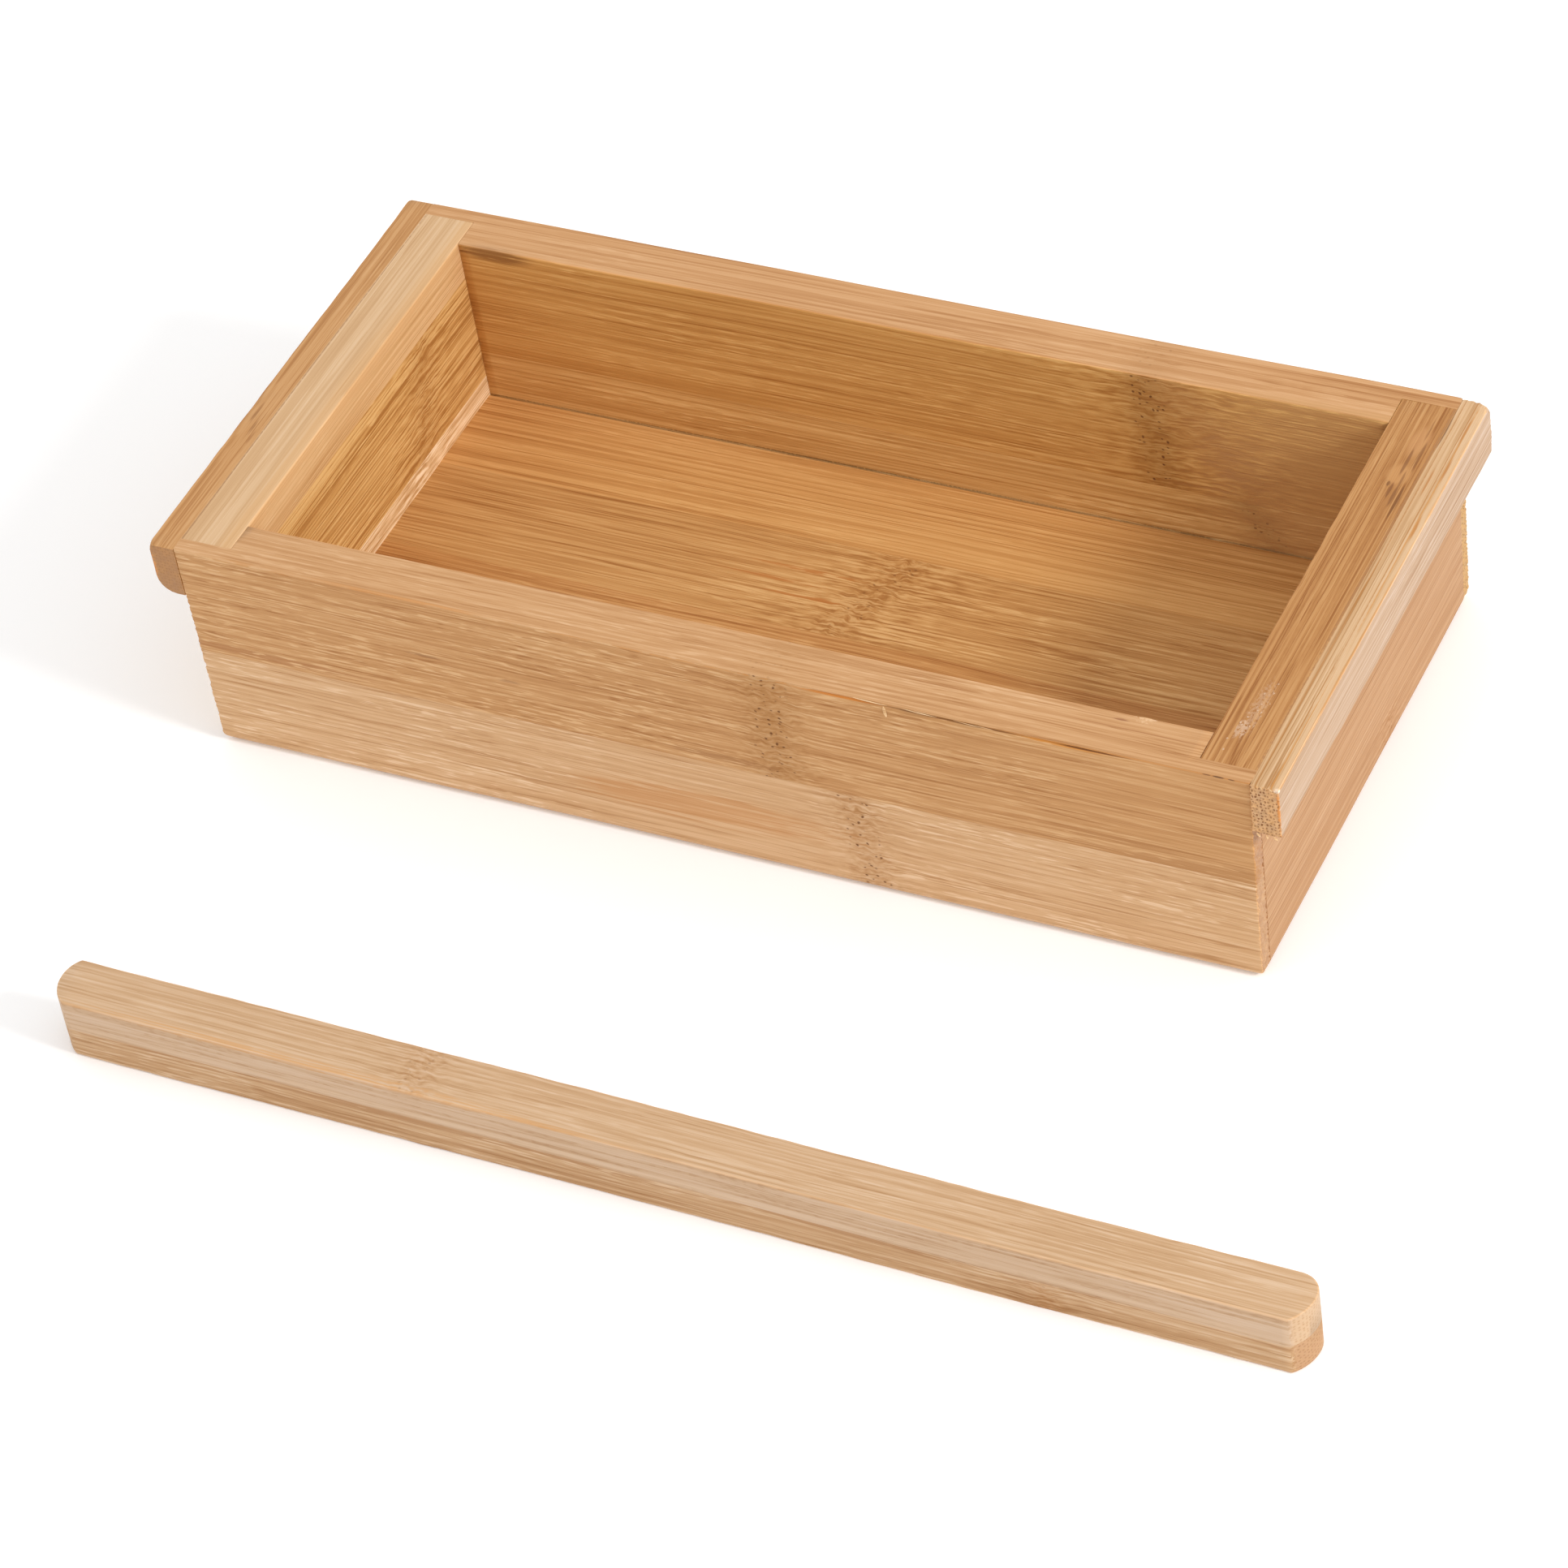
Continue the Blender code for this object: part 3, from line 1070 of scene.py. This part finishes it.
            Mark((-101.4, -19.0, 45.0), (0.30, 2.0, 1.5), (160, 108, 60), 0.6),
        ),
    ),
    "right_grip_rail": Look(
        tone=(183, 151, 121),
        edge_tone=(203, 163, 119),
        streaks=0.8,
        flecks=0.4,
        bands=4.0,
        lines=0.7,
        edge_lines=0.9,
        clouds=0.5,
        dots=1.0,
        end_tone=(218, 168, 114),
        end_dots=(128, 78, 36),
        marks=(
            JOINT,
            Mark((101.1, 0.0, 45.0), (0.13, 300.0, 0.5), (172, 116, 58), 0.7, 1.2, 0.3),
            Mark((103.2, 0.0, 45.0), (0.12, 300.0, 0.5), (172, 116, 58), 0.7, 1.6, 0.3),
            Mark((103.8, 0.0, 45.0), (0.14, 300.0, 0.5), (196, 134, 66), 0.7, 1.6, 0.3),
            Mark((104.0, 31.8, 45.0), (0.24, 3.8, 0.5), (180, 118, 58), 0.8),
            Mark((104.1, 16.0, 45.0), (0.26, 3.2, 0.5), (186, 122, 56), 0.8),
            Mark((103.6, 42.0, 45.0), (0.20, 3.2, 0.5), (180, 118, 58), 0.7),
            Mark((102.0, 27.8, 45.0), (0.20, 3.4, 0.5), (180, 118, 58), 0.7),
            Mark((100.4, 41.5, 45.0), (0.24, 5.0, 0.5), (120, 78, 42), 0.8),
            Mark((105.0, 0.0, 44.9), (0.35, 300.0, 0.35), (216, 158, 98), 0.35, 2.0, 1.2),
            Mark((105.0, -50.7, 39.5), (0.35, 0.4, 5.5), (206, 136, 70), 0.9),
            # Painted highlight: a near-white spot on the top outer corner at the near end.
            Mark((104.8, -50.4, 44.8), (0.5, 0.5, 0.4), (246, 226, 202), 0.9),
        ),
    ),
    "leveling_bar_lower_layer": Look(
        tone=(190, 149, 106),
        line_length=30.0,
        edge_lines=0.7,
        edge_dashes=0.6,
        bands=3.0,
        knots=(Knot(69.0, width=3.0, spread=8.0, pits=0.2, tinted=0.3, flames=0.8),),
        end_tone=(184, 142, 104),
        end_dots=(146, 98, 56),
        marks=(Mark((0.0, -5.1, 5.7), (150.0, 1.0, 0.5), (166, 120, 78), 0.5, 1.8),),
    ),
    "leveling_bar_upper_layer": Look(
        tone=(199, 162, 123),
        edge_tone=(196, 162, 128),
        streaks=0.8,
        flecks=0.35,
        lines=0.4,
        line_length=30.0,
        edge_lines=0.3,
        edge_dashes=0.35,
        knots=(Knot(-44.0, pits=0.3, tinted=0.2),),
        end_tone=(200, 168, 134),
        end_dots=(168, 122, 78),
        marks=(
            Mark((-60.0, -4.4, 12.4), (45.0, 0.9, 0.8), (212, 158, 102), 0.5, 2.4),
            Mark((0.0, -5.1, 7.2), (150.0, 1.0, 0.5), (222, 194, 164), 0.4, 1.6),
        ),
    ),
}

# ------------------------ the mold and its bar

BOX = "mold_box"
BAR = "leveling_bar"

BOX_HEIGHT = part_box("front_wall_upper_strip")[1].z
HALF_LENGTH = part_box("front_wall_upper_strip")[1].x
RAIL_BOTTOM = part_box("right_grip_rail")[0].z
SHOULDER = min(abs(v.co.x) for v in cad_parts["front_wall_upper_strip"].data.vertices)
GLUE_GAP = 0.3 * MM
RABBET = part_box("left_end_top_strip")[1].y + GLUE_GAP
FLOOR_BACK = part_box("floor_strip_back")[1].y
CAVITY_EDGE = FLOOR_BACK + GLUE_GAP

# Each board's first seed, which picks its wood from the one pattern
LONG_WALL_SEED = 0
END_WALL_SEED = 7
FLOOR_SEED = 13
RAIL_SEED = 19
BAR_SEED = 23
SLIVER_SEED = 31


def joined(bm, glued, node, strips, axis):
    """Takes a strip up to the glue lines between it and its neighbours among STRIPS."""
    for lower, upper in zip(strips, strips[1:]):
        if node in (lower, upper):
            low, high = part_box(lower)[1][axis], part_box(upper)[0][axis]
            line = (low + high) / 2
            pull(bm, axis, low if node == lower else high, line)
            glued.append((axis, line))


def box_strip(node, bm, glued, grain, depth, seed, frayed=(), frayed_below=1.0):
    """Wears one strip of the mold and shows it in its bamboo."""
    round_arrises(bm, glued)
    cut_across(bm, grain)
    cut_across(bm, X + Y + Z - grain - depth)
    for crack in CRACKS.get(node, ()):
        split_along(bm, crack)
    for end in frayed:
        fray_end(bm, grain, end, frayed_below)
    weather(bm, tapered_to=BOX_HEIGHT)
    shown(node, bm, BOX, bamboo(f"{node}_bamboo", LOOKS[node], grain, depth, seed))


def long_wall(place, side):
    """Both strips of a long wall. Their ends are sawn, and frayed below the grip rails."""
    strips = [f"{place}_wall_{level}_strip" for level in ("lower", "upper")]
    for seed, node in enumerate(strips, LONG_WALL_SEED + 2 * side):
        bm = solid_of(node)
        glued = [(Y, side * RABBET), (X, SHOULDER), (X, -SHOULDER)]
        joined(bm, glued, node, strips, Z)
        ends = (HALF_LENGTH, -HALF_LENGTH)
        box_strip(node, bm, glued, X, Y, seed, ends, RAIL_BOTTOM)


def end_wall(place, side):
    """The strips of an end wall, closed up to the long walls' rabbets."""
    strips = [f"{place}_end_{level}_strip" for level in ("bottom", "middle", "top")]
    for seed, node in enumerate(strips, END_WALL_SEED + 2 * side):
        bm = solid_of(node)
        glued = [(Y, RABBET), (Y, -RABBET)]
        if node == strips[-1]:
            glued.append((X, side * HALF_LENGTH))
        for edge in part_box(node)[0].y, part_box(node)[1].y:
            pull(bm, Y, edge, RABBET if edge > 0 else -RABBET)
        pull(bm, X, side * (SHOULDER + GLUE_GAP), side * SHOULDER)
        joined(bm, glued, node, strips, Z)
        box_strip(node, bm, glued, Y, X, seed)


def floor_board():
    """The strips of the floor, closed up to the four walls."""
    strips = [f"floor_strip_{place}" for place in ("front", "mid_front", "mid_back", "back")]
    for seed, node in enumerate(strips, FLOOR_SEED):
        bm = solid_of(node)
        glued = [(X, SHOULDER), (X, -SHOULDER), (Y, -CAVITY_EDGE), (Y, FLOOR_BACK)]
        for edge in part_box(node)[0].x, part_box(node)[1].x:
            pull(bm, X, edge, SHOULDER if edge > 0 else -SHOULDER)
        if node == strips[0]:
            pull(bm, Y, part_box(node)[0].y, -CAVITY_EDGE)
        joined(bm, glued, node, strips, Y)
        box_strip(node, bm, glued, X, Z, seed)


def rail(place, side):
    """A grip rail, glued to the end of the box. The right one's ends are as the saw left them."""
    node = f"{place}_grip_rail"
    low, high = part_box(node)
    bm = solid_of(node)
    inner = side * HALF_LENGTH
    pull(bm, X, low.x if side > 0 else high.x, inner)
    ends = (low.y, high.y) if side > 0 else ()
    box_strip(node, bm, [(X, inner)], Y, X, RAIL_SEED + side, ends)


def turn_of(node):
    """The angle between X and the node's longest edge."""
    bm = solid_of(node)
    longest = max(bm.edges, key=lambda edge: edge.calc_length())
    first, second = (vert.co for vert in longest.verts)
    run = second - first
    bm.free()
    turn = atan2(run.y, run.x)
    return turn - pi * round(turn / pi)


def bar():
    """The bar's layers get their wear in their own frame, in which their fibres run along X."""
    layers = ("leveling_bar_lower_layer", "leveling_bar_upper_layer")
    low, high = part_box(layers[0])
    centre = (low + high) / 2
    centre.z = 0.0
    place = Matrix.Translation(centre) @ Matrix.Rotation(turn_of(layers[0]), 4, "Z")
    for seed, (node, depth) in enumerate(zip(layers, (Y, Z)), BAR_SEED):
        bm = solid_of(node)
        glued = []
        joined(bm, glued, node, layers, Z)
        bm.transform(place.inverted())
        round_arrises(bm, glued)
        cut_across(bm, X)
        weather(bm)
        wood = bamboo(f"{node}_bamboo", LOOKS[node], X, depth, seed)
        shown(node, bm, BAR, wood, place)


# ------------------------ torn fibres and dried glue


@dataclass
class Sliver:
    """A splinter lifted off an arris, in millimetres in the frame. It tapers to both ends."""

    start: tuple
    end: tuple
    width: float
    thickness: float = 0.12
    lift: float = 0.15


SLIVER_STEPS = 10
SLIVER_OUT = Vector((0.0, -1.0, 0.35))  # away from the wood
SLIVER_TIP = 0.04
SLIVER_TAPER = 0.6
SLIVER_WANDER = 0.1
SLIVER_WAVES = 5.0
SLIVERS = (
    Sliver((29.0, -50.12, 44.97), (36.0, -50.20, 44.75), 0.20),
    Sliver((38.5, -50.18, 44.85), (45.0, -50.24, 44.60), 0.14),
    Sliver((48.0, -50.20, 44.70), (54.0, -50.24, 44.55), 0.12),
    Sliver((35.3, -50.22, 44.35), (35.6, -50.30, 42.20), 0.62, lift=0.05),
    Sliver((77.0, -40.90, 45.00), (79.6, -40.75, 44.95), 0.40, lift=0.05),
    Sliver((100.8, -50.75, 34.7), (101.4, -50.85, 34.0), 0.35, lift=0.0),
    Sliver((102.4, -50.75, 34.6), (102.7, -50.80, 33.9), 0.30, lift=0.0),
    Sliver((103.7, -50.75, 34.6), (104.4, -50.80, 34.0), 0.38, lift=0.0),
    Sliver((102.0, -50.65, 45.05), (102.6, -51.00, 45.10), 0.35, lift=0.0),
    Sliver((103.6, -50.65, 45.05), (104.3, -51.00, 45.10), 0.30, lift=0.0),
)
SLIVER_LOOK = Look(tone=(228, 188, 138), streaks=0.6, flecks=0.3)


def sliver_rings(bm, sliver):
    """One splinter's diamond-shaped cross-sections, from its start to its end."""
    start, end = (Vector(place) * MM for place in (sliver.start, sliver.end))
    run = (end - start).normalized()
    out = SLIVER_OUT.normalized()
    out = (out - run * out.dot(run)).normalized()
    side = run.cross(out)
    rings = []
    for i in range(SLIVER_STEPS + 1):
        share = i / SLIVER_STEPS
        body = sin(pi * (SLIVER_TIP + (1.0 - 2 * SLIVER_TIP) * share)) ** SLIVER_TAPER
        half = side * (sliver.width / 2 * MM * body)
        thick = out * (sliver.thickness / 2 * MM * body)
        wander = noise.noise(Vector((share * SLIVER_WAVES, *sliver.start[:2]))) * SLIVER_WANDER
        centre = start.lerp(end, share) + out * (sin(pi * share) * sliver.lift * MM)
        centre += side * (wander * sliver.width * MM)
        corners = (centre + half, centre + thick, centre - half, centre - thick)
        rings.append([bm.verts.new(corner) for corner in corners])
    return rings


def slivers():
    """All the torn fibres, as one piece."""
    bm = bmesh.new()
    for sliver in SLIVERS:
        rings = sliver_rings(bm, sliver)
        for first, second in zip(rings, rings[1:]):
            for k in range(4):
                bm.faces.new((first[k], first[k - 1], second[k - 1], second[k]))
        bm.faces.new(rings[0])
        bm.faces.new(rings[-1][::-1])
    bmesh.ops.recalc_face_normals(bm, faces=bm.faces)
    piece = new_object("torn_fibres", bm)
    piece.data.materials.append(bamboo("torn_fibres_bamboo", SLIVER_LOOK, X, Y, SLIVER_SEED))
    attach(piece, BOX)


SPECK_SEED = 5
SPECKS = 30
SPECK_PLACE = Vector((94.9, -34.0, 45.0))  # in millimetres, like the other lengths here
SPECK_SPREAD = Vector((0.6, 3.2, 0.0))
SPECK_LEAN = radians(-6)
SPECK_TURN = 0.5
SPECK_HALF_WIDTHS = (0.05, 0.17)
SPECK_LENGTH = 1.6
SPECK_LENGTHS = (0.5, 1.3)
SPECK_HEIGHT = 0.05
SPECK_LUMPS = 1.6
SPECK_SHIFT = 9.0  # gives each speck its own lumps
SPECK_LUMPINESS = 0.9
SPECK_COLOUR = (212, 180, 150)
SPECK_GRIME_COLOUR = (190, 146, 108)
SPECK_GRIME = 0.4
SPECK_GRIME_STEP = (-0.2, 0.25)
SPECK_ROUGHNESS = 0.8


def glue_speck(bm, chance, top):
    """Adds one flat lump of glue, a little off the patch's middle."""
    away = Vector([chance.gauss(0.0, spread) for spread in SPECK_SPREAD])
    away.rotate(Matrix.Rotation(SPECK_LEAN, 3, "Z"))
    place = (SPECK_PLACE + away) * MM
    place.z = top
    half = chance.uniform(*SPECK_HALF_WIDTHS) * MM
    length = half * SPECK_LENGTH * chance.uniform(*SPECK_LENGTHS)
    turn = Matrix.Rotation(chance.uniform(-SPECK_TURN, SPECK_TURN), 4, "Z")
    size = Matrix.Diagonal((half, length, SPECK_HEIGHT * MM, 1.0))
    shape = Matrix.Translation(place) @ turn @ size
    for vert in bmesh.ops.create_icosphere(bm, subdivisions=2, radius=1.0)["verts"]:
        lump = noise.noise(vert.co * SPECK_LUMPS + away * SPECK_SHIFT)
        vert.co = shape @ (vert.co * (1.0 + lump * SPECK_LUMPINESS))


def dried_glue():
    """Glue that has set pale and cloudy."""
    material, tree, shader = new_material("dried_glue")
    at = millimetres(tree, tree.nodes.new("ShaderNodeTexCoord"))
    grime = cloud(tree, *(place / SPECK_GRIME for place in at), detail=3.0)
    share = grime.step(*SPECK_GRIME_STEP)
    colour = mixed(tree, share, linear(SPECK_GRIME_COLOUR), linear(SPECK_COLOUR))
    tree.links.new(colour, shader.inputs["Base Color"])
    shader.inputs["Roughness"].default_value = SPECK_ROUGHNESS
    return material


def glue_specks():
    """Crumbs of dried glue on top of the right end wall, as one piece."""
    chance = random.Random(SPECK_SEED)
    bm = bmesh.new()
    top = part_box("right_end_top_strip")[1].z
    for _ in range(SPECKS):
        glue_speck(bm, chance, top)
    piece = new_object("glue_specks", bm)
    piece.data.materials.append(dried_glue())
    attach(piece, BOX)


def main():
    noise.seed_set(NOISE_SEED)
    make_camera()
    make_light()
    make_floor()
    for place, side in (("front", -1), ("back", 1)):
        long_wall(place, side)
    for place, side in (("left", -1), ("right", 1)):
        end_wall(place, side)
        rail(place, side)
    floor_board()
    slivers()
    glue_specks()
    bar()


main()
